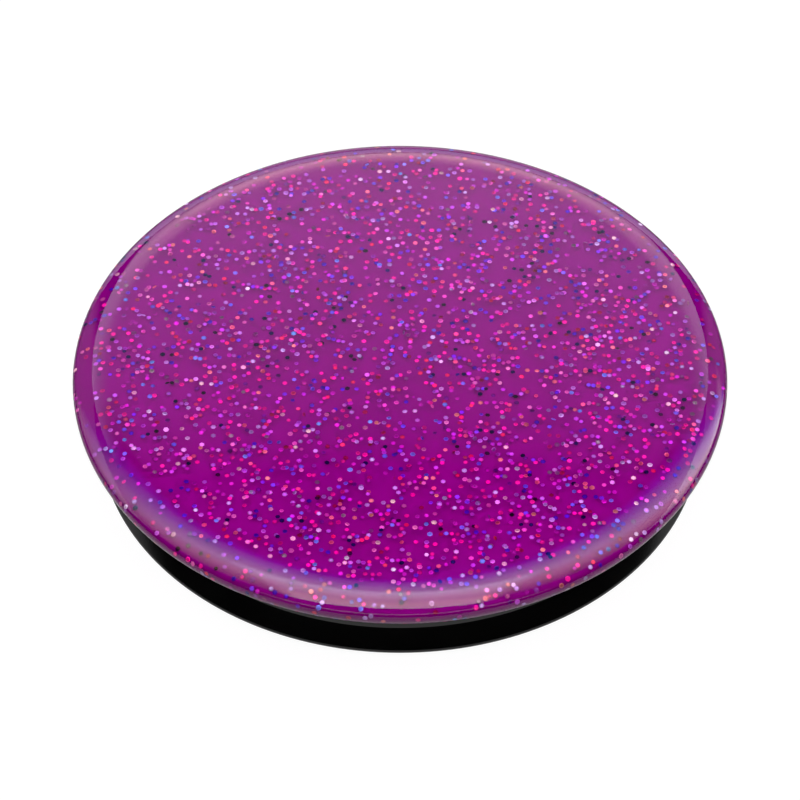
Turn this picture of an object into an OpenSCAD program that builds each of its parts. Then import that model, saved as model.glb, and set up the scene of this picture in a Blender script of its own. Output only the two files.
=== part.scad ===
// Collapsible phone grip: a glitter cap on a folding bellows that stands in a sticky round base.
// Frame: origin at the centre of the sticky face, +Z up through the cap, shown pressed flat.

/* [Cap] */
// Diameter of the cap at its widest
cap_d = 39.7; // [39.3:0.1:40.5]
// Height of the pressed-flat grip, from the sticky face to the middle of the cap
collapsed_h = 6.4; // [6.3:0.05:6.5]
// Height of the cap's lower face above the sticky face
cap_lower_z = 4.2; // [4.1:0.05:4.3]
// Rise of the cap's crown from its shoulder to its middle
cap_crown = 0.3; // [0.2:0.05:0.4]
// Radius of the round below the cap's widest line
lower_round_r = 0.9; // [0.8:0.05:1]
// Radius of the round just above the cap's widest line
edge_round_r = 0.45; // [0.4:0.05:0.6]
// Thickness of the clear lens over the middle of the cap
lens_t = 1; // [0.9:0.05:1.1]
// Thickness of the clear lens at the cap's widest line
lens_rim_t = 0.22; // [0.2:0.01:0.3]
// Thickness of the inner shell's top plate
shell_plate_t = 0.4; // [0.3:0.05:0.45]
// Thickness of the inner shell's side wall at its lower edge
shell_wall_t = 1.1; // [0.9:0.05:1.2]

/* [Base] */
// Thickness of the sticky pad
pad_t = 0.4; // [0.35:0.05:0.5]
// Diameter of the sticky pad
pad_d = 34.8; // [33:0.1:35.6]
// Diameter of the platform at its foot
platform_d = 36.9; // [36.6:0.1:37.2]
// Diameter of the platform above its flared foot
platform_rim_d = 35.3; // [35.2:0.1:35.5]
// Height of the upright edge at the platform's foot
foot_edge_h = 0.35; // [0.35:0.05:0.5]
// Height of the top of the flared foot
flare_top_z = 1.9; // [1.7:0.05:2.1]
// Height of the top of the platform's rim
platform_rim_z = 3.1; // [3:0.05:3.3]
// Thickness of the platform's floor
platform_floor_t = 0.55; // [0.5:0.05:0.55]

/* [Bellows] */
// Height of the folded walls' upper edges
fold_top_z = 4.85; // [4.75:0.05:4.9]
// Outer diameter of the snap foot that turns in the platform
foot_d = 33.9; // [33.8:0.05:34]
// Height of the top of the snap foot
foot_top_z = 2.3; // [2.2:0.05:2.35]
// Outer diameter of the lowest wall where it leaves the snap foot
outer_wall_d = 33.2; // [33:0.05:33.2]
// Outer diameter of the middle wall at its lower edge
middle_wall_d = 27.4; // [27:0.1:27.8]
// Outer diameter of the neck at its lower edge
neck_d = 21.5; // [21.2:0.1:21.8]
// Thickness of the outer and middle walls
wall_t = 1.05; // [0.9:0.05:1.1]
// Taper of the middle wall and the neck: how far the upper edge leans in
wall_lean = 0.5; // [0.3:0.05:0.6]
// Taper of the outer wall, which is steeper because the snap foot holds it
outer_wall_lean = 0.4; // [0.3:0.05:0.5]
// Thickness of the two folding webs
web_t = 0.45; // [0.35:0.05:0.5]
// Thickness of the thin hinge lines at both ends of a web
hinge_t = 0.35; // [0.3:0.05:0.4]

/* [Twist lock] */
// Diameter of the twist socket, which fills the neck
socket_d = 18.4; // [18.2:0.1:18.6]
// Diameter of the hub's spigot
spigot_d = 12; // [11.6:0.1:12]
// Thickness of the hollow spigot's wall
spigot_wall_t = 1.4; // [1.2:0.1:1.6]
// Distance that each lug stands out of the spigot
lug_reach = 1.9; // [1.7:0.05:1.9]
// Angle that each lug spans
lug_angle = 54; // [48:1:54]
// Angle that each stop in the socket spans
stop_angle = 32; // [28:1:32]
// Thickness of the socket's lip, which holds the lugs down
socket_lip_t = 0.8; // [0.7:0.05:0.9]
// Thickness of the socket's floor
socket_floor_t = 0.6; // [0.5:0.05:0.65]
// Turn between locked and free
twist_angle = 90; // [90]

/* [Hidden] */
$fn = 96;
arc_steps = 6;
cap_arc_steps = 8;

// Colours
pad_grey = [0.16, 0.16, 0.17];
base_black = [0.03, 0.03, 0.03];
rubber_black = [0.05, 0.05, 0.05];
lock_black = [0.09, 0.09, 0.1];
shell_purple = [0.42, 0.04, 0.38];
lens_purple = [0.55, 0.05, 0.5];

// Running gaps
turn_gap = 0.08;
seat_gap = 0.05;
web_gap = 0.05;
lug_gap = 0.1;
groove_gap = 0.12;
chamber_gap = 0.2;
flange_gap = 0.07;
spigot_floor_gap = 0.2;
lug_floor_gap = 0.4;
notch_slack = 4;

// Small rounds and steps
wall_round = 0.18;
pad_round = 0.12;
foot_low_round = 0.28;
foot_top_round = 0.18;
small_round = 0.1;
hinge_reach = 0.15;
hinge_step = 0.05;
neck_drop = 0.05;
socket_drop = 0.3;
flange_inset = 0.3;
hub_plate_t = 0.8;
rib_reach = 0.3;
rib_low_z = 2.6;
rib_top_z = 3.2;
shell_lift = 0.05;
shell_seat_w = 0.1;
shell_waist_drop = 0.3;
shell_waist_round = 0.4;
shell_top_round = 0.25;

// How far a solid reaches into the one that it joins, and a cut past the face that it opens
join = 0.1;
cut_past = 1;

// Heights worked out from the driving sizes
floor_top_z = pad_t + platform_floor_t;
fold_low_z = floor_top_z + seat_gap;
lens_under_z = collapsed_h - lens_t;
shell_under_z = lens_under_z - shell_plate_t;
socket_low_z = floor_top_z + 2 * seat_gap;
socket_top_z = fold_top_z - socket_drop;
chamber_top_z = socket_top_z - socket_lip_t;
chamber_low_z = socket_low_z + socket_floor_t;

// Radii of the cap and its inner shell
cap_r = cap_d / 2;
shell_r = cap_r - lens_rim_t;
shell_low_r = cap_r - lower_round_r - shell_seat_w;
shell_recess_r = shell_low_r - shell_wall_t;

// Cap outline: three arcs that meet tangentially, from the widest line to the middle
edge_z = cap_lower_z + lower_round_r;
edge_turn = 60;
shoulder_rise = collapsed_h - cap_crown - edge_z;
shoulder_r = (shoulder_rise - edge_round_r * sin(edge_turn)) / (1 - sin(edge_turn));
edge_c = [cap_r - edge_round_r, edge_z];
shoulder_c = edge_c - (shoulder_r - edge_round_r) * [cos(edge_turn), sin(edge_turn)];
crown_r = pow(shoulder_c.x, 2) / (2 * cap_crown);
crown_turn = acos(shoulder_c.x / (crown_r - shoulder_r));
crown_c = [0, shoulder_c.y - (crown_r - shoulder_r) * sin(crown_turn)];

// Snap groove of the platform
groove_r = foot_d / 2 + turn_gap;
groove_top_z = foot_top_z + groove_gap;
lip_r = outer_wall_d / 2 + turn_gap;

// Inner radii of the walls at their upper edges, where the webs hang
outer_wall_in_r = outer_wall_d / 2 - outer_wall_lean - wall_t;
middle_wall_in_r = middle_wall_d / 2 - wall_lean - wall_t;

// Twist lock radii and angles, and the rib that holds the socket in the neck
socket_r = socket_d / 2;
spigot_r = spigot_d / 2;
lug_r = spigot_r + lug_reach;
lip_hole_r = spigot_r + lug_gap;
notch_r = lug_r + lug_gap;
chamber_r = notch_r + chamber_gap;
hub_flange_r = socket_r - flange_inset;
hub_core_r = spigot_r - spigot_wall_t;
notch_angle = lug_angle + notch_slack;
rib_r = socket_r + rib_reach;

function unit(v) = v / norm(v);

// Points along an arc of radius r about c, from angle a to angle b
function arc(c, r, a, b, steps = arc_steps) =
    [for (i = [0:steps]) let (t = a + (b - a) * i / steps) c + r * [cos(t), sin(t)]];

// Rounds corner q between p and s with radius r
function corner(p, q, s, r) =
    let (
        u = unit(p - q),
        v = unit(s - q),
        half = acos(u * v) / 2,
        c = q + unit(u + v) * r / sin(half),
        start = q + u * r / tan(half) - c,
        stop = q + v * r / tan(half) - c,
        a = atan2(start.y, start.x),
        turn = atan2(start.x * stop.y - start.y * stop.x, start * stop)
    )
    arc(c, r, a, a + turn);

// Outline of [radius, height, corner round] points, with its corners rounded
function rounded(outline) =
    let (n = len(outline), xy = [for (p = outline) [p[0], p[1]]])
    [for (i = [0:n - 1])
        each outline[i][2] > 0
            ? corner(xy[(i + n - 1) % n], xy[i], xy[(i + 1) % n], outline[i][2])
            : [xy[i]]];

// Outside of the inner shell above the height z, up to its middle: a taper, an upright side and a flat top
function shell_outside(z) =
    let (
        low = [shell_low_r, z],
        waist = [shell_r, edge_z - shell_waist_drop],
        top = [shell_r, lens_under_z],
        middle = [0, lens_under_z]
    )
    concat(
        [low],
        corner(low, waist, top, shell_waist_round),
        corner(waist, top, middle, shell_top_round),
        [middle]
    );

module revolve(points) {
    rotate_extrude() polygon(points);
}

// A block of ring between two radii and two heights, spanning an angle about its middle direction
module ring_sector(r_in, r_out, z_low, z_top, middle, span) {
    rotate([0, 0, middle - span / 2])
        rotate_extrude(angle = span)
            translate([r_in, z_low])
                square([r_out - r_in, z_top - z_low]);
}

// A folding web: hangs from the upper edge at r_top, inside an outer wall, and ends beside the wall at r_low
module fold_web(r_top, r_low) {
    hang_z = fold_top_z - hinge_t;
    low_z = fold_low_z + web_gap;
    foot_z = low_z + hinge_t;
    top_out_r = r_top - hinge_reach;
    low_in_r = r_low + web_gap;
    revolve(rounded([
        [r_top, fold_top_z, 0],
        [r_top, hang_z, 0],
        [top_out_r, hang_z, 0],
        [low_in_r + web_t + hinge_step, low_z, wall_round],
        [low_in_r, low_z, 0],
        [low_in_r, foot_z, 0],
        [low_in_r + hinge_step, foot_z, 0],
        [top_out_r - web_t, fold_top_z, wall_round]
    ]));
}

module adhesive_pad() {
    color(pad_grey)
        revolve(rounded([
            [0, 0, 0],
            [pad_d / 2, 0, pad_round],
            [pad_d / 2, pad_t, 0],
            [0, pad_t, 0]
        ]));
}

module platform() {
    color(base_black)
        revolve(rounded([
            [0, pad_t, 0],
            [platform_d / 2, pad_t, foot_low_round],
            [platform_d / 2, pad_t + foot_edge_h, foot_top_round],
            [platform_rim_d / 2, flare_top_z, 0],
            [platform_rim_d / 2, platform_rim_z, wall_round],
            [lip_r, platform_rim_z, wall_round],
            [lip_r, groove_top_z, 0],
            [groove_r, groove_top_z, 0],
            [groove_r, floor_top_z, 0],
            [0, floor_top_z, 0]
        ]));
}

module bellows_outer_wall() {
    low_r = outer_wall_d / 2;
    color(rubber_black)
        revolve(rounded([
            [low_r - wall_t, fold_low_z, wall_round],
            [foot_d / 2, fold_low_z, wall_round],
            [foot_d / 2, foot_top_z, small_round],
            [low_r, foot_top_z, 0],
            [low_r - outer_wall_lean, fold_top_z, wall_round],
            [outer_wall_in_r, fold_top_z, 0]
        ]));
}

module lower_fold_web() {
    color(rubber_black)
        fold_web(outer_wall_in_r, middle_wall_d / 2);
}

module bellows_middle_wall() {
    low_r = middle_wall_d / 2;
    color(rubber_black)
        revolve(rounded([
            [low_r - wall_t, fold_low_z, wall_round],
            [low_r, fold_low_z, 0],
            [low_r - wall_lean, fold_top_z, wall_round],
            [middle_wall_in_r, fold_top_z, 0]
        ]));
}

module upper_fold_web() {
    color(rubber_black)
        fold_web(middle_wall_in_r, neck_d / 2);
}

module bellows_neck() {
    neck_top_z = fold_top_z - neck_drop;
    color(rubber_black)
        revolve(rounded([
            [socket_r, fold_low_z, 0],
            [neck_d / 2, fold_low_z, 0],
            [neck_d / 2 - wall_lean, neck_top_z, wall_round],
            [socket_r, neck_top_z, 0],
            [socket_r, rib_top_z, 0],
            [rib_r, rib_top_z, 0],
            [rib_r, rib_low_z, 0],
            [socket_r, rib_low_z, 0]
        ]));
}

module twist_socket() {
    color(lock_black) {
        difference() {
            revolve([
                [hub_core_r, socket_low_z],
                [socket_r, socket_low_z],
                [socket_r, rib_low_z],
                [rib_r, rib_low_z],
                [rib_r, rib_top_z],
                [socket_r, rib_top_z],
                [socket_r, socket_top_z],
                [lip_hole_r, socket_top_z],
                [lip_hole_r, chamber_top_z],
                [chamber_r, chamber_top_z],
                [chamber_r, chamber_low_z],
                [hub_core_r, chamber_low_z]
            ]);
            // Notches that let the lugs in once the cap is turned
            for (way = [twist_angle, twist_angle + 180])
                ring_sector(lip_hole_r - cut_past, notch_r, chamber_top_z - join, socket_top_z + cut_past,
                    way, notch_angle);
        }
        // Stops that end the turn, half a turn apart and clear of the lugs at both ends
        for (way = [twist_angle * 1.5, twist_angle * 1.5 + 180])
            ring_sector(lip_hole_r + join, chamber_r + join, chamber_low_z - join, chamber_top_z + join,
                way, stop_angle);
    }
}

module twist_hub() {
    spigot_low_z = chamber_low_z + spigot_floor_gap;
    flange_low_z = socket_top_z + flange_gap;
    core_top_z = shell_under_z - hub_plate_t;
    color(lock_black) {
        revolve(rounded([
            [hub_core_r, spigot_low_z, 0],
            [spigot_r, spigot_low_z, small_round],
            [spigot_r, flange_low_z, 0],
            [hub_flange_r, flange_low_z, small_round],
            [hub_flange_r, shell_under_z, 0],
            [0, shell_under_z, 0],
            [0, core_top_z, 0],
            [hub_core_r, core_top_z, 0]
        ]));
        for (way = [0, 180])
            ring_sector(spigot_r - join, lug_r, chamber_low_z + lug_floor_gap, chamber_top_z - lug_gap,
                way, lug_angle);
    }
}

module cap_shell() {
    low_z = cap_lower_z + shell_lift;
    color(shell_purple)
        revolve(concat(
            [[0, shell_under_z], [shell_recess_r, shell_under_z], [shell_recess_r, low_z]],
            shell_outside(low_z)
        ));
}

module cap_lens() {
    outside = concat(
        arc([cap_r - lower_round_r, edge_z], lower_round_r, -90, 0, cap_arc_steps),
        arc(edge_c, edge_round_r, 0, edge_turn, cap_arc_steps),
        arc(shoulder_c, shoulder_r, edge_turn, crown_turn, cap_arc_steps),
        arc(crown_c, crown_r, crown_turn, 90, cap_arc_steps)
    );
    inside = shell_outside(cap_lower_z + shell_lift);
    color(lens_purple)
        revolve(concat(
            [for (i = [len(inside) - 1:-1:0]) inside[i]],
            [[shell_low_r, cap_lower_z]],
            outside
        ));
}

adhesive_pad();
platform();
bellows_outer_wall();
lower_fold_web();
bellows_middle_wall();
upper_fold_web();
bellows_neck();
twist_socket();
twist_hub();
cap_shell();
cap_lens();
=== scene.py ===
"""Looks of a collapsible phone grip: a purple glitter cap on a folding black bellows and a sticky base.

Every size is in metres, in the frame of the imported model: the origin is the centre of the sticky
face, +Z runs up through the cap, and the grip lies pressed flat.
"""

import logging
import math
import random
from dataclasses import dataclass, field
from enum import Enum

import bmesh
import bpy
from mathutils import Matrix, Vector


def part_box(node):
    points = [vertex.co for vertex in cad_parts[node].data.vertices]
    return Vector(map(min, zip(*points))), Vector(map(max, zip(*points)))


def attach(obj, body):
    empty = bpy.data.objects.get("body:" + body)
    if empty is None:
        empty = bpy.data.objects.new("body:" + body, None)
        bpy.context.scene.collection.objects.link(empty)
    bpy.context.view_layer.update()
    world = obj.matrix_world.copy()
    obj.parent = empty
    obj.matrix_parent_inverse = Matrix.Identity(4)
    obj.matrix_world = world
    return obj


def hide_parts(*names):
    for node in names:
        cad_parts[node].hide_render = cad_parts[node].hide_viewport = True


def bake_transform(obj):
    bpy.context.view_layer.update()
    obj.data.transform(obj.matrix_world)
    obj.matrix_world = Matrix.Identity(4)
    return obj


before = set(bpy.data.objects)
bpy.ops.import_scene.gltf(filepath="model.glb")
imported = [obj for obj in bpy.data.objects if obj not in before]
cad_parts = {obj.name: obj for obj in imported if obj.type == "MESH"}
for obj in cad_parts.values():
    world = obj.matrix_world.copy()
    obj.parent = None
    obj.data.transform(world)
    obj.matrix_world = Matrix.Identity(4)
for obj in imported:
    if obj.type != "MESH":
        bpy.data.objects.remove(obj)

LOG = logging.getLogger("phone_grip")
MM = 0.001
TURN_STEPS = 192
ROUND_STRIPS = 4
SHARP_DEGREES = 40.0
MERGE_GAP = 1e-7
RING_GAP = 1e-6

Colour = tuple[float, float, float]
Point = tuple[float, float]
Spot = tuple[float, float, float]
Ring = tuple[float, float, float]
Stops = list[tuple[float, Colour]]
Inputs = dict[str | int, object]
Socket = bpy.types.NodeSocket
Material = bpy.types.Material
BMesh = bmesh.types.BMesh


def linear(*channels: int) -> Colour:
    """Turns a display colour into linear light, by the sRGB curve.

    Args:
        *channels: Red, green and blue, from 0 to 255.

    Returns:
        The three linear values.
    """
    shares = [channel / 255 for channel in channels]
    return tuple(
        share / 12.92 if share <= 0.04045 else ((share + 0.055) / 1.055) ** 2.4
        for share in shares
    )


class NodeSheet:
    """A material's, light's or world's node tree, with short calls to fill it."""

    def __init__(self, owner: bpy.types.ID) -> None:
        """Empties the owner's node tree.

        Args:
            owner: The material, light or world whose nodes are made.
        """
        owner.use_nodes = True
        self.tree = owner.node_tree
        self.tree.nodes.clear()

    def add(self, kind: str, inputs: Inputs | None = None, **values: object) -> bpy.types.Node:
        """Adds a shader node.

        Args:
            kind: Blender's name for the node type, after ShaderNode.
            inputs: What input sockets take, by name or number: a socket to link, or a plain value.
            **values: Properties of the node to set.

        Returns:
            The new node.
        """
        node = self.tree.nodes.new(f"ShaderNode{kind}")
        for name, value in values.items():
            setattr(node, name, value)
        for name, value in (inputs or {}).items():
            if isinstance(value, Socket):
                self.tree.links.new(value, node.inputs[name])
            else:
                node.inputs[name].default_value = value
        return node

    def show(self, kind: str, inputs: Inputs, output: str = "OutputMaterial", **others: Socket) -> None:
        """Adds the shader that is shown and joins it to an output node.

        Args:
            kind: The shader's node type.
            inputs: What the shader's input sockets take.
            output: The output's node type.
            **others: What the output's other sockets take.
        """
        shader = self.add(kind, inputs)
        self.add(output, {"Surface": shader.outputs[0], **others})

    def noise(self, scale: float, detail: float = 2.0, roughness: float = 0.5) -> Socket:
        """Adds a noise texture on Object coordinates.

        Args:
            scale: How many blotches fit in a metre.
            detail: How many finer layers it has.
            roughness: How strong the finer layers are.

        Returns:
            The socket that gives the noise, from 0 to 1.
        """
        place = self.add("TexCoord").outputs["Object"]
        inputs = {"Vector": place, "Scale": scale, "Detail": detail, "Roughness": roughness}
        return self.add("TexNoise", inputs).outputs["Fac"]

    def spread(
        self, source: Socket, low: Socket | float, high: float, limits: Point = (0.0, 1.0)
    ) -> Socket:
        """Stretches a value from one range over another.

        Args:
            source: The socket that gives the value.
            low: The result at the lower limit, or the socket that gives it.
            high: The result at the upper limit.
            limits: The range that is stretched.

        Returns:
            The socket that gives the result.
        """
        inputs = {"Value": source, "To Min": low, "To Max": high}
        inputs["From Min"], inputs["From Max"] = limits
        return self.add("MapRange", inputs).outputs["Result"]

    def math(self, operation: str, source: Socket, other: Socket | float = 0.0) -> Socket:
        """Works with one or two values, by Blender's name for the sum, and gives the result's socket."""
        return self.add("Math", {0: source, 1: other}, operation=operation).outputs["Value"]

    def tint(self, source: Socket, stops: Stops) -> Socket:
        """Turns a 0 to 1 value into a colour.

        Args:
            source: The socket that gives the value.
            stops: The ramp's places and colours, in order.

        Returns:
            The socket that gives the colour.
        """
        ramp = self.add("ValToRGB", {"Fac": source})
        marks = ramp.color_ramp.elements
        while len(marks) < len(stops):
            marks.new(0.5)
        for mark, (place, colour) in zip(marks, stops):
            mark.position = place
            mark.color = (*colour, 1.0)
        return ramp.outputs["Color"]

    def bump(self, source: Socket, strength: float, depth: float) -> Socket:
        """Bends the normal by a height whose full range is the depth, and gives the normal's socket."""
        inputs = {"Height": source, "Strength": strength, "Distance": depth}
        return self.add("Bump", inputs).outputs["Normal"]

    def radius(self) -> Socket:
        """Measures how far each point is from the upright axis.

        Returns:
            The socket that gives the distance in metres.
        """
        place = self.add("TexCoord").outputs["Object"]
        flat = self.add("VectorMath", {0: place, 1: (1.0, 1.0, 0.0)}, operation="MULTIPLY")
        length = self.add("VectorMath", {0: flat.outputs["Vector"]}, operation="LENGTH")
        return length.outputs["Value"]

    def by_ray(self, seen: float, falling: float, through: float, mirrored: Socket | float) -> Socket:
        """Gives each kind of ray its own brightness.

        Args:
            seen: Brightness that the camera sees.
            falling: Brightness that falls on matte surfaces.
            through: Brightness seen through clear pieces.
            mirrored: Brightness seen in reflections, or the socket that gives it.

        Returns:
            The socket that gives the brightness.
        """
        path = self.add("LightPath")
        level = mirrored
        for kind, bright in (("Diffuse", falling), ("Transmission", through), ("Camera", seen)):
            level = self.spread(path.outputs[f"Is {kind} Ray"], level, bright)
        return level


@dataclass(frozen=True)
class Moulded:
    """A moulded plastic or rubber: mottled colour, uneven gloss, a fine grain, and painted shade towards
    the rim when the shade share is below 1.
    """

    name: str
    dark: Colour
    light: Colour
    gloss: Point
    blotches_per_m: float
    grain_per_m: float
    grain_depth: float
    grain_strength: float
    ior: float = 1.5
    painted_shade_share: float = 1.0
    rim_radii: Point = (0.0, 1.0)
    blotch_detail: float = 4.0
    blotch_limits: Point = (0.3, 0.7)
    grain_detail: float = 3.0
    grain_roughness: float = 0.6

    def make(self) -> Material:
        """Makes the material, with painted shade that dims its colour to the shade share across the rim
        radii.

        Returns:
            A Principled material with the finish's values.
        """
        material = bpy.data.materials.new(self.name)
        sheet = NodeSheet(material)
        blotch = sheet.noise(self.blotches_per_m, self.blotch_detail)
        grain = sheet.noise(self.grain_per_m, self.grain_detail, self.grain_roughness)
        colour = sheet.tint(blotch, list(zip(self.blotch_limits, (self.dark, self.light))))
        # Painted shade: the colour is darkened from the inner to the outer rim radius, standing in for the
        # dimmer light at the rim.
        if self.painted_shade_share < 1.0:
            share = sheet.spread(sheet.radius(), 1.0, self.painted_shade_share, self.rim_radii)
            painted_shade = sheet.add("VectorMath", {0: colour, "Scale": share}, operation="SCALE")
            colour = painted_shade.outputs["Vector"]
        sheet.show("BsdfPrincipled", {
            "Base Color": colour,
            "Roughness": sheet.spread(blotch, *self.gloss),
            "IOR": self.ior,
            "Normal": sheet.bump(grain, self.grain_strength, self.grain_depth),
        })
        return material


@dataclass(frozen=True)
class TintedResin:
    """Polished clear resin that takes green out of the light that crosses it."""

    name: str = "purple_resin"
    absorbed: Colour = (0.97, 0.0, 0.97)
    density_per_m: float = 1500.0
    ior: float = 1.5
    polish: Point = (0.0, 0.03)
    swirls_per_m: float = 90.0
    ripple_depth: float = 0.0002 * MM

    def make(self) -> Material:
        """Makes the material.

        Returns:
            A clear Principled material with an absorbing inside.
        """
        material = bpy.data.materials.new(self.name)
        sheet = NodeSheet(material)
        swirl = sheet.noise(self.swirls_per_m)
        absorption = {"Color": (*self.absorbed, 1.0), "Density": self.density_per_m}
        inside = sheet.add("VolumeAbsorption", absorption)
        sheet.show("BsdfPrincipled", {
            "Base Color": (1.0, 1.0, 1.0, 1.0),
            "Roughness": sheet.spread(swirl, *self.polish),
            "IOR": self.ior,
            "Normal": sheet.bump(swirl, 1.0, self.ripple_depth),
            "Transmission Weight": 1.0,
        }, Volume=inside.outputs["Volume"])
        return material


class FoilTint(Enum):
    """The colours of the cut foil, each with its share of the flakes; the navy and plum tints are painted
    dark reflections.
    """

    HOT_PINK = (linear(255, 28, 162), 0.16)
    RED_PINK = (linear(255, 50, 110), 0.03)
    MAGENTA = (linear(208, 28, 188), 0.12)
    ROSE = (linear(244, 115, 195), 0.09)
    SALMON = (linear(254, 135, 142), 0.065)
    PEACH = (linear(255, 205, 210), 0.03)
    ORCHID = (linear(205, 90, 220), 0.08)
    LAVENDER = (linear(200, 162, 226), 0.125)
    LILAC_WHITE = (linear(252, 224, 255), 0.03)
    PERIWINKLE = (linear(132, 130, 242), 0.05)
    SKY = (linear(122, 165, 248), 0.015)
    VIOLET = (linear(140, 58, 232), 0.045)
    INDIGO = (linear(84, 15, 180), 0.04)
    DEEP_PURPLE = (linear(125, 5, 140), 0.03)
    DEEP_RED = (linear(175, 8, 85), 0.025)
    ASH = (linear(140, 112, 130), 0.02)
    # Painted dark reflections: these two near-black tints stand in for flakes that mirror the dark room.
    NAVY = (linear(30, 8, 75), 0.025)
    PLUM = (linear(50, 4, 52), 0.02)

    @property
    def colour(self) -> Colour:
        """The tint in linear light."""
        return self.value[0]

    @property
    def share(self) -> float:
        """The tint's share of all flakes."""
        return self.value[1]


@dataclass(frozen=True)
class CutFoil:
    """Metallic film cut into flakes, coloured flake by flake through an attribute."""

    name: str = "cut_foil"
    tint_layer: str = "foil_tint"
    metal: float = 0.45
    ior: float = 1.05
    gloss: Point = (0.28, 0.5)
    speckles_per_m: float = 2500.0

    def make(self) -> Material:
        """Makes the material.

        Returns:
            A half-metallic Principled material that reads the tint attribute.
        """
        material = bpy.data.materials.new(self.name)
        sheet = NodeSheet(material)
        tint = sheet.add("Attribute", attribute_name=self.tint_layer)
        sheet.show("BsdfPrincipled", {
            "Base Color": tint.outputs["Color"],
            "Metallic": self.metal,
            "Roughness": sheet.spread(sheet.noise(self.speckles_per_m), *self.gloss),
            "IOR": self.ior,
        })
        return material


BLACK_GLOSS = Moulded(
    name="black_moulded_base",
    dark=(0.0008, 0.0008, 0.0009),
    light=(0.0015, 0.0015, 0.0016),
    gloss=(0.10, 0.20),
    blotches_per_m=260.0,
    grain_per_m=5200.0,
    grain_depth=0.004 * MM,
    grain_strength=0.35,
)
SATIN_RUBBER = Moulded(
    name="satin_bellows_rubber",
    dark=(0.007, 0.007, 0.0075),
    light=(0.013, 0.013, 0.0135),
    gloss=(0.38, 0.55),
    blotches_per_m=340.0,
    grain_per_m=7000.0,
    grain_depth=0.012 * MM,
    grain_strength=0.6,
)
LOCK_PLASTIC = Moulded(
    name="matte_lock_plastic",
    dark=(0.012, 0.012, 0.013),
    light=(0.020, 0.020, 0.021),
    gloss=(0.45, 0.6),
    blotches_per_m=300.0,
    grain_per_m=6000.0,
    grain_depth=0.01 * MM,
    grain_strength=0.5,
)
STICKY_GEL = Moulded(
    name="sticky_gel",
    dark=(0.022, 0.022, 0.025),
    light=(0.045, 0.045, 0.049),
    gloss=(0.22, 0.42),
    blotches_per_m=420.0,
    grain_per_m=3600.0,
    grain_depth=0.03 * MM,
    grain_strength=0.7,
    ior=1.42,
)
PURPLE_SHELL = Moulded(
    name="purple_inner_shell",
    dark=(0.21, 0.0005, 0.168),
    light=(0.23, 0.0008, 0.184),
    gloss=(0.3, 0.4),
    blotches_per_m=150.0,
    grain_per_m=2600.0,
    grain_depth=0.006 * MM,
    grain_strength=0.3,
    ior=1.02,
    # Painted shade: the shell's colour is darkened to 78 percent towards its rim, standing in for the
    # dimmer light there.
    painted_shade_share=0.78,
    rim_radii=(16.8 * MM, 18.2 * MM),
)


class ProfilePen:
    """Draws a half profile in the XZ plane, then turns it about Z into a closed piece."""

    def __init__(self, start: Point) -> None:
        """Puts the pen down.

        Args:
            start: Radius and height of the first point.
        """
        self.mesh = bmesh.new()
        self.first = self.mesh.verts.new((start[0], 0.0, start[1]))
        self.tip = self.first

    def line(self, *points: Point) -> "ProfilePen":
        """Draws straight lines.

        Args:
            *points: Radius and height of each next point.

        Returns:
            The pen, for the next call.
        """
        for radius, height in points:
            made = bmesh.ops.extrude_vert_indiv(self.mesh, verts=[self.tip])
            self.tip = made["verts"][0]
            self.tip.co = (radius, 0.0, height)
        return self

    def arc(self, centre: Point, degrees: float, steps: int) -> None:
        """Draws an arc.

        Args:
            centre: Radius and height of the arc's centre.
            degrees: How far it turns, from +X towards +Z.
            steps: How many chords it has.
        """
        made = bmesh.ops.spin(
            self.mesh,
            geom=[self.tip],
            cent=(centre[0], 0.0, centre[1]),
            axis=(0.0, -1.0, 0.0),
            angle=math.radians(degrees),
            steps=steps,
        )
        self.tip = next(item for item in made["geom_last"] if isinstance(item, bmesh.types.BMVert))

    def turn(self) -> BMesh:
        """Turns the profile about Z, after closing it if it doesn't start on the axis.

        Returns:
            The closed mesh, with its normals outward.
        """
        if self.first.co.x > 0:
            self.mesh.edges.new((self.tip, self.first))
        bmesh.ops.spin(
            self.mesh,
            geom=self.mesh.verts[:] + self.mesh.edges[:],
            cent=(0.0, 0.0, 0.0),
            axis=(0.0, 0.0, 1.0),
            angle=math.tau,
            steps=TURN_STEPS,
            use_merge=True,
        )
        bmesh.ops.remove_doubles(self.mesh, verts=self.mesh.verts, dist=MERGE_GAP)
        bmesh.ops.recalc_face_normals(self.mesh, faces=self.mesh.faces)
        return self.mesh


def steps_between(start: Point, end: Point, count: int) -> list[Point]:
    """Divides a straight line into equal steps and returns the points after its first."""
    first, last = Vector(start), Vector(end)
    return [tuple(first.lerp(last, index / count)) for index in range(1, count + 1)]


def ring_edges(mesh: BMesh, radius: float, height: float) -> list[bmesh.types.BMEdge]:
    """Finds the round edge at one radius and height.

    Args:
        mesh: The turned mesh.
        radius: The edge's radius.
        height: The edge's height.

    Returns:
        The edges of that ring.
    """
    level = {vert for vert in mesh.verts if abs(vert.co.z - height) < RING_GAP}
    ring = {vert for vert in level if abs(vert.co.xy.length - radius) < RING_GAP}
    return [edge for edge in mesh.edges if ring.issuperset(edge.verts)]


def round_rings(mesh: BMesh, rings: list[Ring], strips: int = ROUND_STRIPS) -> None:
    """Rounds round edges.

    Args:
        mesh: The turned mesh.
        rings: Radius and height of each edge, and how far its round reaches along both faces.
        strips: How many strips each round has.
    """
    for radius, height, reach in rings:
        bmesh.ops.bevel(
            mesh,
            geom=ring_edges(mesh, radius, height),
            offset=reach,
            affect="EDGES",
            segments=strips,
            profile=0.5,
            material=-1,
        )


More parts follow.
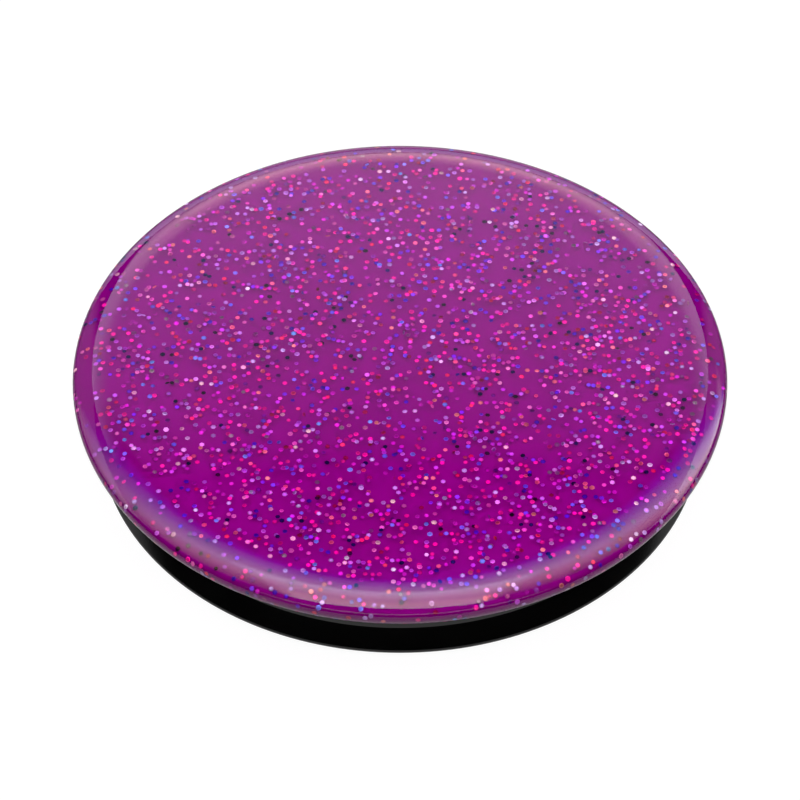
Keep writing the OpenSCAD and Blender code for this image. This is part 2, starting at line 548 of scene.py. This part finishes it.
def finish_piece(
    name: str,
    mesh: BMesh,
    material: Material,
    sharp_degrees: float = SHARP_DEGREES,
    smooth: bool = True,
) -> bpy.types.Object:
    """Turns a built mesh into a shown object.

    Args:
        name: The piece's name.
        mesh: The built mesh, which is freed.
        material: The piece's material.
        sharp_degrees: Edges sharper than this stay sharp.
        smooth: Whether the faces are shaded smooth.

    Returns:
        The new object, at the origin.
    """
    data = bpy.data.meshes.new(name)
    mesh.to_mesh(data)
    mesh.free()
    data.polygons.foreach_set("use_smooth", [smooth] * len(data.polygons))
    if smooth:
        data.set_sharp_from_angle(angle=math.radians(sharp_degrees))
    data.materials.append(material)
    piece = bpy.data.objects.new(name, data)
    bpy.context.scene.collection.objects.link(piece)
    LOG.info("piece %s: %d faces", name, len(data.polygons))
    return piece


def dress_node(node: str, material: Material) -> None:
    """Gives a CAD node a better material.

    Args:
        node: The node's name.
        material: The material to show.
    """
    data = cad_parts[node].data
    data.materials.clear()
    data.materials.append(material)
    LOG.info("node %s wears %s", node, material.name)


@dataclass
class StickyBase:
    """The flared platform and the sticky pad under it."""

    rim_radius: float = 17.65 * MM
    flare_top: float = 1.9 * MM
    foot_edge: float = 0.35 * MM
    lip_radius: float = 16.68 * MM
    groove_radius: float = 17.03 * MM
    groove_top: float = 2.42 * MM
    floor_thickness: float = 0.55 * MM
    foot_round: float = 0.28 * MM
    flare_round: float = 0.0565 * MM
    rim_round: float = 0.18 * MM
    pad_round: float = 0.12 * MM
    sharp_degrees: float = 22.0

    def build(self) -> None:
        """Builds the platform and the pad."""
        self.build_platform()
        self.build_pad()

    def build_platform(self) -> None:
        """Turns the platform's cup, rounds its edges and puts it on the base."""
        low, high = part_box("platform")
        foot_radius = high.x
        floor_top = low.z + self.floor_thickness
        foot_top = low.z + self.foot_edge
        mesh = ProfilePen((0.0, low.z)).line(
            (foot_radius, low.z),
            (foot_radius, foot_top),
            (self.rim_radius, self.flare_top),
            (self.rim_radius, high.z),
            (self.lip_radius, high.z),
            (self.lip_radius, self.groove_top),
            (self.groove_radius, self.groove_top),
            (self.groove_radius, floor_top),
            (0.0, floor_top),
        ).turn()
        round_rings(mesh, [
            (foot_radius, low.z, self.foot_round),
            (foot_radius, foot_top, self.flare_round),
            (self.rim_radius, high.z, self.rim_round),
            (self.lip_radius, high.z, self.rim_round),
        ])
        piece = finish_piece("flared_platform", mesh, BLACK_GLOSS.make(), self.sharp_degrees)
        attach(piece, "base")
        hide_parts("platform")

    def build_pad(self) -> None:
        """Turns the pad with its soft lower edge."""
        low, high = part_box("adhesive_pad")
        mesh = ProfilePen((0.0, low.z)).line((high.x, low.z), (high.x, high.z), (0.0, high.z)).turn()
        round_rings(mesh, [(high.x, low.z, self.pad_round)])
        piece = finish_piece("sticky_pad", mesh, STICKY_GEL.make())
        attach(piece, "base")
        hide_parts("adhesive_pad")


@dataclass
class Bellows:
    """The folding bellows: three tapered walls and the two webs that fold between them."""

    wall_radius: float = 16.6 * MM
    foot_top: float = 2.3 * MM
    wall_thickness: float = 1.05 * MM
    outer_lean: float = 0.4 * MM
    inner_lean: float = 0.5 * MM
    web_thickness: float = 0.45 * MM
    hinge_thickness: float = 0.35 * MM
    hinge_reach: float = 0.15 * MM
    web_sink: float = 0.1 * MM
    neck_bore: float = 9.2 * MM
    edge_round: float = 0.18 * MM
    web_rows: int = 14
    web_sharp_degrees: float = 60.0

    def __post_init__(self) -> None:
        """Makes the rubber that the five pieces share."""
        self.rubber = SATIN_RUBBER.make()

    def build(self) -> None:
        """Builds the three walls and the two webs."""
        outer_top = self.build_outer_wall()
        middle_top, middle_low = self.build_middle_wall()
        neck_low = self.build_neck()
        self.build_web("lower_web", "lower_fold_web", outer_top, middle_low)
        self.build_web("upper_web", "upper_fold_web", middle_top, neck_low)

    def build_wall(self, name: str, body: str, node: str, corners: list[Point], rings: list[Ring]) -> None:
        """Turns a wall, rounds its edges and puts it on its body in place of its node.

        Args:
            name: The piece's name.
            body: The body that it moves with.
            node: The CAD node that it stands for.
            corners: Radius and height of each corner of its outline.
            rings: The edges to round, as round_rings takes them.
        """
        mesh = ProfilePen(corners[0]).line(*corners[1:]).turn()
        round_rings(mesh, rings)
        piece = finish_piece(name, mesh, self.rubber)
        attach(piece, body)
        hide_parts(node)

    def build_outer_wall(self) -> float:
        """Builds the outer wall with its snap foot.

        Returns:
            The wall's inner radius at its upper edge.
        """
        low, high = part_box("bellows_outer_wall")
        top_radius = self.wall_radius - self.outer_lean
        inner_top = top_radius - self.wall_thickness
        corners = [
            (self.wall_radius - self.wall_thickness, low.z),
            (high.x, low.z),
            (high.x, self.foot_top),
            (self.wall_radius, self.foot_top),
            (top_radius, high.z),
            (inner_top, high.z),
        ]
        rings = [
            (high.x, low.z, self.edge_round),
            (high.x, self.foot_top, self.edge_round / 2),
            (top_radius, high.z, self.edge_round),
        ]
        self.build_wall("outer_wall", "foot", "bellows_outer_wall", corners, rings)
        return inner_top

    def build_middle_wall(self) -> Point:
        """Builds the middle wall.

        Returns:
            The inner radius at its upper edge and the outer radius at its lower edge.
        """
        low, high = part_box("bellows_middle_wall")
        top_radius = high.x - self.inner_lean
        inner_top = top_radius - self.wall_thickness
        inner_low = high.x - self.wall_thickness
        corners = [(inner_low, low.z), (high.x, low.z), (top_radius, high.z), (inner_top, high.z)]
        rings = [(inner_low, low.z, self.edge_round), (top_radius, high.z, self.edge_round)]
        self.build_wall("middle_wall", "middle", "bellows_middle_wall", corners, rings)
        return inner_top, high.x

    def build_neck(self) -> float:
        """Builds the neck that holds the twist socket.

        Returns:
            The neck's outer radius at its lower edge.
        """
        low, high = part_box("bellows_neck")
        bore = self.neck_bore
        top_radius = high.x - self.inner_lean
        corners = [(bore, low.z), (high.x, low.z), (top_radius, high.z), (bore, high.z)]
        rings = [(top_radius, high.z, self.edge_round)]
        self.build_wall("neck_wall", "neck", "bellows_neck", corners, rings)
        return high.x

    def build_web(self, name: str, node: str, top: float, low: float) -> None:
        """Builds a folding web as it lies pressed flat, fixed in place; on the real grip it turns inside
        out when its stage pops out.

        Args:
            name: The piece's name.
            node: The CAD node that it stands for.
            top: The radius where it hangs from the wall outside it.
            low: The radius where it meets the wall inside it.
        """
        floor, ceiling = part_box(node)
        hang = ceiling.z - self.hinge_thickness
        foot = floor.z + self.hinge_thickness
        outer_top = top - self.hinge_reach
        outer_low = low + self.web_thickness + self.hinge_reach
        inner_top = outer_top - self.web_thickness
        inner_low = outer_low - self.web_thickness
        top_end = top + self.web_sink
        low_end = low - self.web_sink
        pen = ProfilePen((top_end, ceiling.z)).line((top_end, hang), (outer_top, hang))
        pen.line(*steps_between((outer_top, hang), (outer_low, floor.z), self.web_rows))
        pen.line((low_end, floor.z), (low_end, foot), (inner_low, foot))
        pen.line(*steps_between((inner_low, foot), (inner_top, ceiling.z), self.web_rows))
        piece = finish_piece(name, pen.turn(), self.rubber, self.web_sharp_degrees)
        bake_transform(piece)
        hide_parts(node)


@dataclass
class LensShape:
    """Outline of the cap's lens: a crown, a shoulder and a round edge that meet smoothly.

    The arc steps are the chords of each arc, from the lower face to the middle.
    """

    height: float = 6.4 * MM
    crown: float = 0.3 * MM
    lower_round: float = 0.9 * MM
    edge_round: float = 0.45 * MM
    edge_turn: float = 60.0
    seat_width: float = 0.1 * MM
    waist_drop: float = 0.3 * MM
    waist_reach: float = 0.208 * MM
    shell_round: float = 0.25 * MM
    bond: float = 0.02 * MM
    arc_steps: tuple[int, ...] = (14, 10, 14, 24)

    def __post_init__(self) -> None:
        """Works out the arcs' centres and the bonded inside from the CAD boxes."""
        low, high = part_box("cap_lens")
        shell_low, shell_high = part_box("cap_shell")
        self.low = low.z
        self.radius = high.x
        self.under = shell_high.z
        self.shell_radius = shell_high.x
        self.shell_low = shell_low.z
        self.shell_low_radius = self.radius - self.lower_round - self.seat_width
        self.edge_height = self.low + self.lower_round
        bend = math.radians(self.edge_turn)
        rise = self.height - self.crown - self.edge_height
        self.shoulder = (rise - self.edge_round * math.sin(bend)) / (1 - math.sin(bend))
        reach = self.shoulder - self.edge_round
        self.edge_centre = (self.radius - self.edge_round, self.edge_height)
        self.shoulder_centre = (
            self.edge_centre[0] - reach * math.cos(bend),
            self.edge_centre[1] - reach * math.sin(bend),
        )
        self.crown_radius = self.shoulder_centre[0] ** 2 / (2 * self.crown)
        inner_radius = self.crown_radius - self.shoulder
        self.crown_turn = math.degrees(math.acos(self.shoulder_centre[0] / inner_radius))
        drop = inner_radius * math.sin(math.radians(self.crown_turn))
        self.crown_centre = (0.0, self.shoulder_centre[1] - drop)

    def shell_corners(self, sink: float = 0.0) -> list[Ring]:
        """Corners of the shell's outside, from its lower edge to its flat top.

        Args:
            sink: How far the corners lie inside the shell.

        Returns:
            Radius and height of each corner, and the reach of its round.
        """
        return [
            (self.shell_low_radius - sink, self.shell_low, 0.0),
            (self.shell_radius - sink, self.edge_height - self.waist_drop, self.waist_reach),
            (self.shell_radius - sink, self.under - sink, self.shell_round),
        ]

    def arcs(self) -> list[tuple[Point, float, float, float]]:
        """Lists the outside's arcs from the middle to the lower face.

        Returns:
            Centre, radius, first and last angle of each arc, with angles in degrees above level.
        """
        lower_centre = (self.radius - self.lower_round, self.edge_height)
        return [
            (self.crown_centre, self.crown_radius, 90.0, self.crown_turn),
            (self.shoulder_centre, self.shoulder, self.crown_turn, self.edge_turn),
            (self.edge_centre, self.edge_round, self.edge_turn, 0.0),
            (lower_centre, self.lower_round, 0.0, -90.0),
        ]

    def outside(self, rows_per_arc: int = 60) -> list[tuple[Point, float, float]]:
        """Divides the outside into rings.

        Args:
            rows_per_arc: How many rings each arc gives.

        Returns:
            Radius and height of each ring, its outward angle in radians above level, and its area.
        """
        rings = []
        for centre, size, first, last in self.arcs():
            step = math.radians(last - first) / rows_per_arc
            for row in range(rows_per_arc):
                angle = math.radians(first) + step * (row + 0.5)
                spot = (centre[0] + size * math.cos(angle), centre[1] + size * math.sin(angle))
                rings.append((spot, angle, math.tau * spot[0] * size * abs(step)))
        return rings

    def shell_reach(self, height: float) -> float:
        """Radius of the shell's outside at one height, or 0 above it.

        Args:
            height: Height above the sticky face.

        Returns:
            The radius that the shell fills there.
        """
        waist = self.edge_height - self.waist_drop
        if height > self.under:
            return 0.0
        if height > waist:
            return self.shell_radius
        share = (height - self.shell_low) / (waist - self.shell_low)
        return self.shell_low_radius + (self.shell_radius - self.shell_low_radius) * share

    def depth(self, radius: float, height: float) -> float:
        """Depth of a point under the lens's outside.

        Args:
            radius: The point's distance from the axis.
            height: The point's height.

        Returns:
            The depth, below zero outside the lens.
        """
        crown, shoulder, edge, lower = self.arcs()
        if height < self.edge_height:
            centre, size = lower[:2]
            if radius < centre[0]:
                return height - self.low
        else:
            bend = math.atan2(height - shoulder[0][1], radius - shoulder[0][0])
            if bend > math.radians(self.crown_turn):
                centre, size = crown[:2]
            elif bend > math.radians(self.edge_turn):
                centre, size = shoulder[:2]
            else:
                centre, size = edge[:2]
        return size - math.hypot(radius - centre[0], height - centre[1])

    def room(self, spot: Point, angle: float, step: float = 0.02 * MM) -> float:
        """Thickness of the resin under a point of the outside.

        Args:
            spot: Radius and height of the point.
            angle: The outward angle there, in radians above level.
            step: How finely it is measured.

        Returns:
            The distance from the outside to the shell or to the lower face.
        """
        deep = step
        while True:
            radius = spot[0] - deep * math.cos(angle)
            height = spot[1] - deep * math.sin(angle)
            if radius < self.shell_reach(height) or self.depth(radius, height) < 0:
                return deep
            deep += step

    def holds(self, spot: Vector, skin: float) -> bool:
        """Says if a point lies in the resin, at least the skin away from the shell and the outside."""
        radius = spot.xy.length
        return self.depth(radius, spot.z) >= skin and radius > self.shell_reach(spot.z - skin) + skin

    def mesh(self) -> BMesh:
        """Turns the lens, sunk a hair into the shell that it is bonded to.

        Returns:
            The closed lens.
        """
        corners = self.shell_corners(self.bond)
        pen = ProfilePen((0.0, corners[-1][1]))
        pen.line(*(corner[:2] for corner in reversed(corners)))
        pen.line((corners[0][0], self.low), (self.radius - self.lower_round, self.low))
        for (centre, _, first, last), steps in zip(reversed(self.arcs()), self.arc_steps):
            pen.arc(centre, first - last, steps)
        mesh = pen.turn()
        round_rings(mesh, corners[1:])
        return mesh


@dataclass
class GlitterCap:
    """The cap: an opaque inner shell under a clear lens with cut foil cast into it."""

    flake_count: int = 3950
    flake_radius: float = 0.158 * MM
    flake_thickness: float = 0.025 * MM
    flake_sides: int = 6
    flake_spacing: float = 0.27 * MM
    face_share: float = 0.64
    flake_value: Point = (0.34, 0.84)
    dull_share: float = 0.45
    dull_face: float = 0.6
    size_spread: float = 0.06
    most_spreads: float = 3.0
    tilt_degrees: float = 7.0
    loose_share: float = 0.08
    loose_tilt_degrees: float = 35.0
    rim_density: float = 0.42
    rim_radii: Point = (17.2 * MM, 19.0 * MM)
    skin: float = 0.015 * MM
    tries: int = 40
    batch: int = 100
    shell_wall: float = 1.1 * MM
    shell_plate: float = 0.4 * MM
    shell_strips: int = 6
    shell_sharp_degrees: float = 35.0
    lens_sharp_degrees: float = 50.0
    seed: int = 41

    def __post_init__(self) -> None:
        """Works out the cap's outline and sets up the seeded source of chance."""
        self.shape = LensShape()
        self.draw = random.Random(self.seed)

    def build(self) -> None:
        """Builds the shell, the lens and the glitter, and dresses the twist lock."""
        lock = LOCK_PLASTIC.make()
        dress_node("twist_hub", lock)
        dress_node("twist_socket", lock)
        self.build_shell()
        self.build_lens()
        self.build_glitter()

    def build_shell(self) -> None:
        """Builds the opaque shell inside the lens."""
        shape = self.shape
        plate_low = shape.under - self.shell_plate
        recess = shape.shell_low_radius - self.shell_wall
        corners = shape.shell_corners()
        pen = ProfilePen((0.0, plate_low)).line((recess, plate_low), (recess, shape.shell_low))
        pen.line(*(corner[:2] for corner in corners), (0.0, shape.under))
        mesh = pen.turn()
        round_rings(mesh, corners[1:], self.shell_strips)
        piece = finish_piece("inner_shell", mesh, PURPLE_SHELL.make(), self.shell_sharp_degrees)
        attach(piece, "cap")
        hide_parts("cap_shell")

    def build_lens(self) -> None:
        """Builds the clear lens."""
        resin = TintedResin().make()
        piece = finish_piece("clear_lens", self.shape.mesh(), resin, self.lens_sharp_degrees)
        piece.visible_shadow = False
        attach(piece, "cap")
        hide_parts("cap_lens")

    def build_glitter(self) -> None:
        """Casts the flakes into the lens, evenly over its face and thinner towards the rim."""
        foil = CutFoil()
        places = self.flake_places()
        whole = bmesh.new()
        part = bpy.data.meshes.new("glitter_part")
        for start in range(0, len(places), self.batch):
            mesh = bmesh.new()
            layer = mesh.loops.layers.float_color.new(foil.tint_layer)
            for place in places[start:start + self.batch]:
                self.add_flake(mesh, layer, place)
            mesh.to_mesh(part)
            mesh.free()
            whole.from_mesh(part)
        bpy.data.meshes.remove(part)
        piece = finish_piece("glitter", whole, foil.make(), smooth=False)
        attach(piece, "cap")

    def flake_places(self) -> list[Matrix]:
        """Picks places in the resin that keep apart from each other.

        Returns:
            Each flake's place, with its flat side nearly along the outside.
        """
        draw = self.draw
        rings = self.shape.outside()
        areas = [area * self.density(radius) for (radius, _), _, area in rings]
        cells: dict[tuple[int, ...], list[Vector]] = {}
        places: list[Matrix] = []
        while len(places) < self.flake_count:
            (radius, height), angle, _ = draw.choices(rings, areas)[0]
            way = Matrix.Rotation(draw.uniform(0.0, math.tau), 4, "Z")
            room = self.shape.room((radius, height), angle)
            inward = Vector((-math.cos(angle), 0.0, -math.sin(angle)))
            spot = Vector((radius, 0.0, height))
            for _ in range(self.tries):
                sunk = Matrix.Translation(spot + inward * draw.uniform(0.0, room))
                place = way @ sunk @ Matrix.Rotation(math.pi / 2 - angle, 4, "Y") @ self.flake_tilt()
                if self.fits(place):
                    if self.keeps_apart(way @ spot, cells):
                        places.append(place)
                    break
        return places

    def density(self, radius: float) -> float:
        """Gives the flakes' density at a radius: 1 over the face and less towards the rim."""
        start, end = self.rim_radii
        return 1.0 + (self.rim_density - 1.0) * min(1.0, max(0.0, (radius - start) / (end - start)))

    def flake_tilt(self) -> Matrix:
        """Turns a flake at random and tips it a little, or a lot for a loose one.

        Returns:
            The turn and tip.
        """
        loose = self.draw.random() < self.loose_share
        spread = self.loose_tilt_degrees if loose else self.tilt_degrees
        turn = Matrix.Rotation(self.draw.uniform(0.0, math.tau), 4, "Z")
        return turn @ Matrix.Rotation(math.radians(self.draw.gauss(0.0, spread)), 4, "X")

    def fits(self, place: Matrix) -> bool:
        """Says if the whole flake lies in the resin.

        Args:
            place: The flake's place.

        Returns:
            Whether its middle and its corners are inside.
        """
        reach = self.flake_radius * (1 + self.most_spreads * self.size_spread)
        corners = [Vector((0.0, 0.0, 0.0))]
        for step in range(self.flake_sides):
            angle = math.tau * step / self.flake_sides
            corners.append(Vector((reach * math.cos(angle), reach * math.sin(angle), 0.0)))
        return all(self.shape.holds(place @ corner, self.skin) for corner in corners)

    def keeps_apart(self, spot: Vector, cells: dict[tuple[int, ...], list[Vector]]) -> bool:
        """Says if a place is clear of all earlier ones, and notes it when it is.

        Args:
            spot: The place.
            cells: Earlier places, by the cube of space that they lie in.

        Returns:
            Whether no earlier flake is too near.
        """
        cube = [math.floor(value / self.flake_spacing) for value in spot]
        steps = (-1, 0, 1)
        for side in [(x, y, z) for x in steps for y in steps for z in steps]:
            near = cells.get(tuple(a + b for a, b in zip(cube, side)), [])
            if any((spot - other).length < self.flake_spacing for other in near):
                return False
        cells.setdefault(tuple(cube), []).append(spot.copy())
        return True

    def add_flake(self, mesh: BMesh, layer: bmesh.types.BMLayerItem, place: Matrix) -> None:
        """Adds one flake with a sloped edge, and with a duller face on some.

        Args:
            mesh: The mesh that holds the flakes.
            layer: The tint layer.
            place: The flake's place.
        """
        draw = self.draw
        most = self.most_spreads
        spread = max(-most, min(most, draw.gauss(0.0, 1.0))) * self.size_spread
        radius = self.flake_radius * (1 + spread)
        made = bmesh.ops.create_cone(
            mesh,
            cap_ends=True,
            segments=self.flake_sides,
            radius1=radius,
            radius2=radius * self.face_share,
            depth=self.flake_thickness,
            matrix=place,
        )
        colour = draw.choices(list(FoilTint), [tint.share for tint in FoilTint])[0].colour
        value = draw.uniform(*self.flake_value)
        face_value = value * (self.dull_face if draw.random() < self.dull_share else 1.0)
        for side in {side for vert in made["verts"] for side in vert.link_faces}:
            level = face_value if len(side.verts) == self.flake_sides else value
            for loop in side.loops:
                loop[layer] = (*(min(1.0, channel * level) for channel in colour), 1.0)


@dataclass
class SoftPanel:
    """A soft studio panel that the camera doesn't see.

    Its glow changes by its stops from its lower to its upper edge. The bow lifts the change away from
    the middle, the fade dims both sides over that share of the width, and the taper is the share of the
    width that is left at the lower edge.
    """

    name: str
    place: Spot
    target: Spot
    width: float
    height: float
    stops: Stops
    strength: float
    bow: float = 0.0
    middle: float = 0.5
    fade: float = 0.01
    taper: float = 1.0

    def build(self) -> None:
        """Makes the panel as an area light that shows only in mirrors and through clear pieces."""
        light = bpy.data.lights.new(self.name, "AREA")
        light.shape = "RECTANGLE"
        light.size = self.width
        light.size_y = self.height
        light.energy = math.pi * self.width * self.height
        sheet = NodeSheet(light)
        split = sheet.add("SeparateXYZ", {"Vector": sheet.add("NewGeometry").outputs["Parametric"]})
        across = split.outputs["X"]
        up = split.outputs["Y"]
        aside = sheet.math("SUBTRACT", across, self.middle)
        lift = sheet.math("MULTIPLY", sheet.math("MULTIPLY", aside, aside), self.bow)
        reach = sheet.math("ABSOLUTE", sheet.math("SUBTRACT", across, 0.5))
        reach = sheet.math("DIVIDE", reach, sheet.spread(up, self.taper, 1.0))
        sheet.show("Emission", {
            "Color": sheet.tint(sheet.math("SUBTRACT", up, lift), self.stops),
            "Strength": sheet.spread(reach, self.strength, 0.0, (0.5 - self.fade, 0.5)),
        }, "OutputLight")
        lamp = bpy.data.objects.new(self.name, light)
        lamp.location = self.place
        lamp.rotation_mode = "QUATERNION"
        lamp.rotation_quaternion = (Vector(self.target) - Vector(self.place)).to_track_quat("-Z", "Y")
        lamp.visible_camera = False
        lamp.visible_diffuse = False
        bpy.context.scene.collection.objects.link(lamp)


BLACK = (0.0, 0.0, 0.0)
PALE = (1.0, 1.0, 0.95)
BACK_PANELS = [
    SoftPanel(
        "back_panel",
        place=(0.0, 0.3065, 0.2148), target=(0.0, 0.0701, 0.0303),
        width=0.46, height=0.304,
        stops=[
            (0.0, (0.5, 0.5, 0.6)),
            (0.15, (0.8, 0.8, 0.95)),
            (0.48, (0.8, 0.8, 0.95)),
            (0.6, (0.5, 0.5, 0.6)),
            (0.84, BLACK),
        ],
        strength=2.0,
        bow=0.95,
        taper=0.68,
    ),
    SoftPanel(
        "warm_strip",
        place=(0.0, 0.341, 0.1627), target=(0.0, 0.1046, -0.0218),
        width=0.36, height=0.207,
        stops=[
            (0.0, (0.25, 0.25, 0.15)),
            (0.3, (0.95, 0.5, 0.2)),
            (0.45, (1.0, 0.35, 0.2)),
            (0.7, (0.5, 0.05, 0.0)),
            (1.0, BLACK),
        ],
        strength=2.3,
        fade=0.35,
    ),
    SoftPanel(
        "low_card",
        place=(0.0, 0.33, 0.035), target=(0.0, 0.0, 0.035),
        width=0.52, height=0.07,
        stops=[(0.0, (0.3, 0.46, 0.6)), (1.0, (0.85, 0.85, 1.0))],
        strength=1.65,
        fade=0.2,
    ),
]
UPPER_PANELS = [
    SoftPanel(
        "top_band",
        place=(0.3, 0.2995, 0.36), target=(0.3, 0.2995, 0.0),
        width=1.7, height=0.8,
        stops=[
            (0.0, BLACK),
            (0.06, (0.35, 0.3, 0.05)),
            (0.13, (0.85, 0.7, 0.5)),
            (0.19, (0.8, 0.9, 1.0)),
            (0.3, (0.1, 0.3, 0.85)),
            (0.38, (0.0, 0.02, 0.65)),
            (0.46, BLACK),
        ],
        strength=3.6,
        bow=2.9,
        middle=0.308,
        fade=0.23,
    ),
    SoftPanel(
        "front_fill",
        place=(0.0, -0.46, 0.386), target=(0.0, 0.0, 0.0),
        width=1.1, height=0.25,
        stops=[(0.0, BLACK), (0.2, PALE), (0.7, PALE), (1.0, BLACK)],
        strength=1.0,
        fade=0.2,
    ),
    SoftPanel(
        "right_window",
        place=(0.68, 0.42, 0.358), target=(0.68, 0.42, 0.0),
        width=0.5, height=0.32,
        stops=[(0.0, BLACK), (0.3, PALE), (0.7, PALE), (1.0, BLACK)],
        strength=1.7,
        fade=0.25,
    ),
    SoftPanel(
        "front_lamp",
        place=(-0.015, -0.0125, 0.359), target=(-0.015, -0.0125, 0.0),
        width=0.25, height=0.176,
        stops=[
            (0.0, (0.9, 0.85, 0.75)),
            (0.2, (1.0, 0.75, 0.65)),
            (0.45, (0.35, 0.3, 0.4)),
            (0.85, (0.5, 0.55, 0.65)),
            (1.0, BLACK),
        ],
        strength=4.5,
        fade=0.12,
    ),
]
SIDE_CARDS = [
    SoftPanel(
        name,
        place=(across, along, height), target=(0.0, 0.0, height),
        width=width, height=0.42,
        stops=[(0.0, BLACK), (0.15, PALE), (1.0, PALE)],
        strength=strength,
        fade=0.15,
    )
    for name, across, along, height, width, strength in (
        ("left_gap_card", -0.41, 0.44, 0.28, 0.26, 0.34),
        ("right_gap_card", 0.41, 0.44, 0.28, 0.26, 0.34),
        ("left_card", -0.564, 0.205, 0.33, 0.46, 1.2),
        ("right_card", 0.564, 0.205, 0.36, 0.46, 2.4),
    )
]


@dataclass
class Studio:
    """The pale floor, the soft light and the camera."""

    camera_distance: float = 340.0 * MM
    camera_elevation: float = 46.33
    lens_mm: float = 251.0
    sensor_mm: float = 36.0
    clip_start: float = 10.0 * MM
    aim: Vector = field(default_factory=lambda: Vector((0.0, 0.0, 2.851 * MM)))
    floor_radius: float = 3.0
    floor_sides: int = 64
    floor_gap: float = 0.02 * MM
    floor_grey: float = 0.16
    floor_glow: float = 0.95
    floor_falling: float = 2.0
    floor_through: float = 0.5
    floor_mirrored: Point = (0.55, 0.03)
    floor_fade: Point = (0.05, 0.13)
    sky_seen: float = 1.27
    sky_fill: float = 1.2
    sky_through: float = 4.2
    sky_gloss: float = 0.02
    horizon_share: float = 0.02

    def build(self) -> None:
        """Sets up everything round the object."""
        self.build_camera()
        self.build_floor()
        self.build_sky()
        for panel in BACK_PANELS + UPPER_PANELS + SIDE_CARDS:
            panel.build()

    def build_camera(self) -> None:
        """Places the camera at the photograph's angle."""
        tilt = math.radians(self.camera_elevation)
        data = bpy.data.cameras.new("camera")
        data.lens = self.lens_mm
        data.sensor_width = self.sensor_mm
        data.clip_start = self.clip_start
        camera = bpy.data.objects.new("camera", data)
        back = Vector((0.0, -math.cos(tilt), math.sin(tilt)))
        camera.location = self.aim + back * self.camera_distance
        camera.rotation_mode = "QUATERNION"
        camera.rotation_quaternion = (-back).to_track_quat("-Z", "Y")
        bpy.context.scene.collection.objects.link(camera)
        bpy.context.scene.camera = camera

    def build_floor(self) -> None:
        """Lays the pale floor just under the grip, clear when it is seen from below."""
        mesh = bmesh.new()
        bmesh.ops.create_circle(
            mesh,
            cap_ends=True,
            segments=self.floor_sides,
            radius=self.floor_radius,
            matrix=Matrix.Translation((0.0, 0.0, -self.floor_gap)),
        )
        material = bpy.data.materials.new("pale_floor")
        sheet = NodeSheet(material)
        grey = (self.floor_grey, self.floor_grey, self.floor_grey, 1.0)
        matte = sheet.add("BsdfDiffuse", {"Color": grey})
        mirrored = sheet.spread(sheet.radius(), *self.floor_mirrored, self.floor_fade)
        level = sheet.by_ray(self.floor_glow, self.floor_falling, self.floor_through, mirrored)
        glow = sheet.add("Emission", {"Strength": level})
        both = sheet.add("AddShader", {0: matte.outputs["BSDF"], 1: glow.outputs["Emission"]})
        sheet.show("MixShader", {
            "Fac": sheet.add("NewGeometry").outputs["Backfacing"],
            1: both.outputs["Shader"],
            2: sheet.add("BsdfTransparent").outputs["BSDF"],
        })
        floor = finish_piece("floor", mesh, material, smooth=False)

    def build_sky(self) -> None:
        """Makes the room's light: bright from above, dim near the horizon and in mirrors."""
        world = bpy.data.worlds.new("room")
        bpy.context.scene.world = world
        sheet = NodeSheet(world)
        level = sheet.by_ray(self.sky_seen, self.sky_fill, self.sky_through, self.sky_gloss)
        way = sheet.add("SeparateXYZ", {"Vector": sheet.add("TexCoord").outputs["Generated"]})
        rise = sheet.spread(way.outputs["Z"], self.horizon_share, 1.0)
        rise = sheet.math("MAXIMUM", rise, sheet.add("LightPath").outputs["Is Camera Ray"])
        sheet.show("Background", {"Strength": sheet.math("MULTIPLY", level, rise)}, "OutputWorld")
        bpy.context.scene.view_settings.view_transform = "Standard"


def main() -> None:
    """Builds the grip's looks and the studio round it."""
    logging.basicConfig(level=logging.INFO, format="%(name)s: %(message)s")
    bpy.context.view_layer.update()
    StickyBase().build()
    Bellows().build()
    GlitterCap().build()
    Studio().build()


if __name__ == "__main__":
    main()
